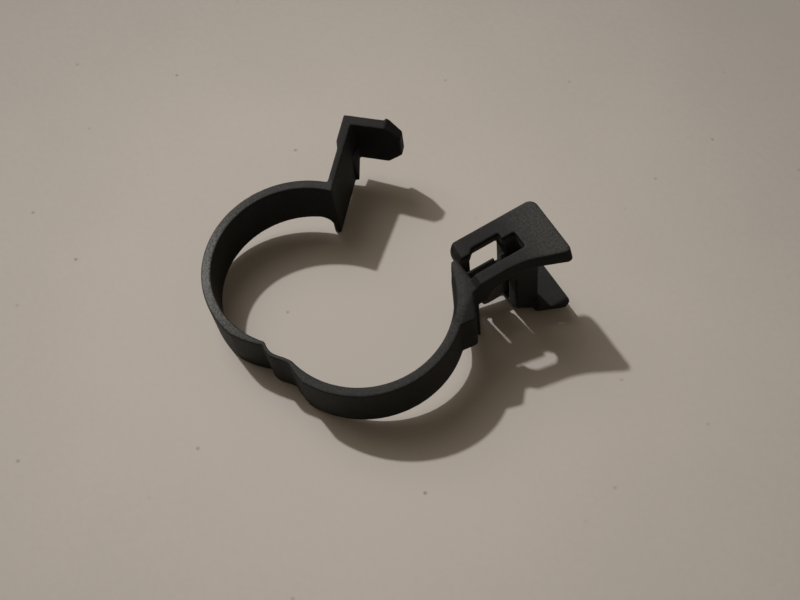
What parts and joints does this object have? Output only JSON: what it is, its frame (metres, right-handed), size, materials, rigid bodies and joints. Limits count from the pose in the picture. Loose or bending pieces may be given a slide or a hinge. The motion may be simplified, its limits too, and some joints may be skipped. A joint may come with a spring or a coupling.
{
  "type": "snap clip",
  "caption": "Hinged snap clip in black plastic: two half rings on a living hinge, with a plate and tongue that snap into a windowed catch box with flared finger wings.",
  "frame": {"origin": "centre of the pipe seat in the catch arm, at the middle of the bands' width", "axes": "+Z along the pipe, towards the edge that the plate is flush with; +Y from the pipe towards the catch box; the hinge is on -Y"},
  "size_m": [0.048, 0.0516, 0.018],
  "materials": {
    "black_plastic": "satin"
  },
  "bodies": {
    "catch_arm": {"catch_root": "black_plastic", "catch_band": "black_plastic", "catch_flare": "black_plastic", "end_wall": "black_plastic", "upper_cheek": "black_plastic", "upper_wing": "black_plastic", "lower_cheek": "black_plastic", "lower_wing": "black_plastic", "cross_rib": "black_plastic", "side_wall": "black_plastic", "front_bridge": "black_plastic", "catch_pawl": "black_plastic", "pawl_shelf": "black_plastic", "hinge_web": "black_plastic"},
    "latch_arm": {"latch_band": "black_plastic", "latch_root": "black_plastic", "latch_plate": "black_plastic", "plate_head": "black_plastic", "plate_gusset": "black_plastic", "latch_tongue": "black_plastic", "tongue_barb": "black_plastic"}
  },
  "joints": [
    {"name": "clip_hinge", "type": "hinge", "parent": "catch_arm", "child": "latch_arm", "pos_m": [0, -0.01544, 0], "axis": [0, 0, -1], "range_deg": [-40, 47], "stiffness_Nm_per_rad": 0.02, "deforming": ["hinge_web"]}
  ]
}
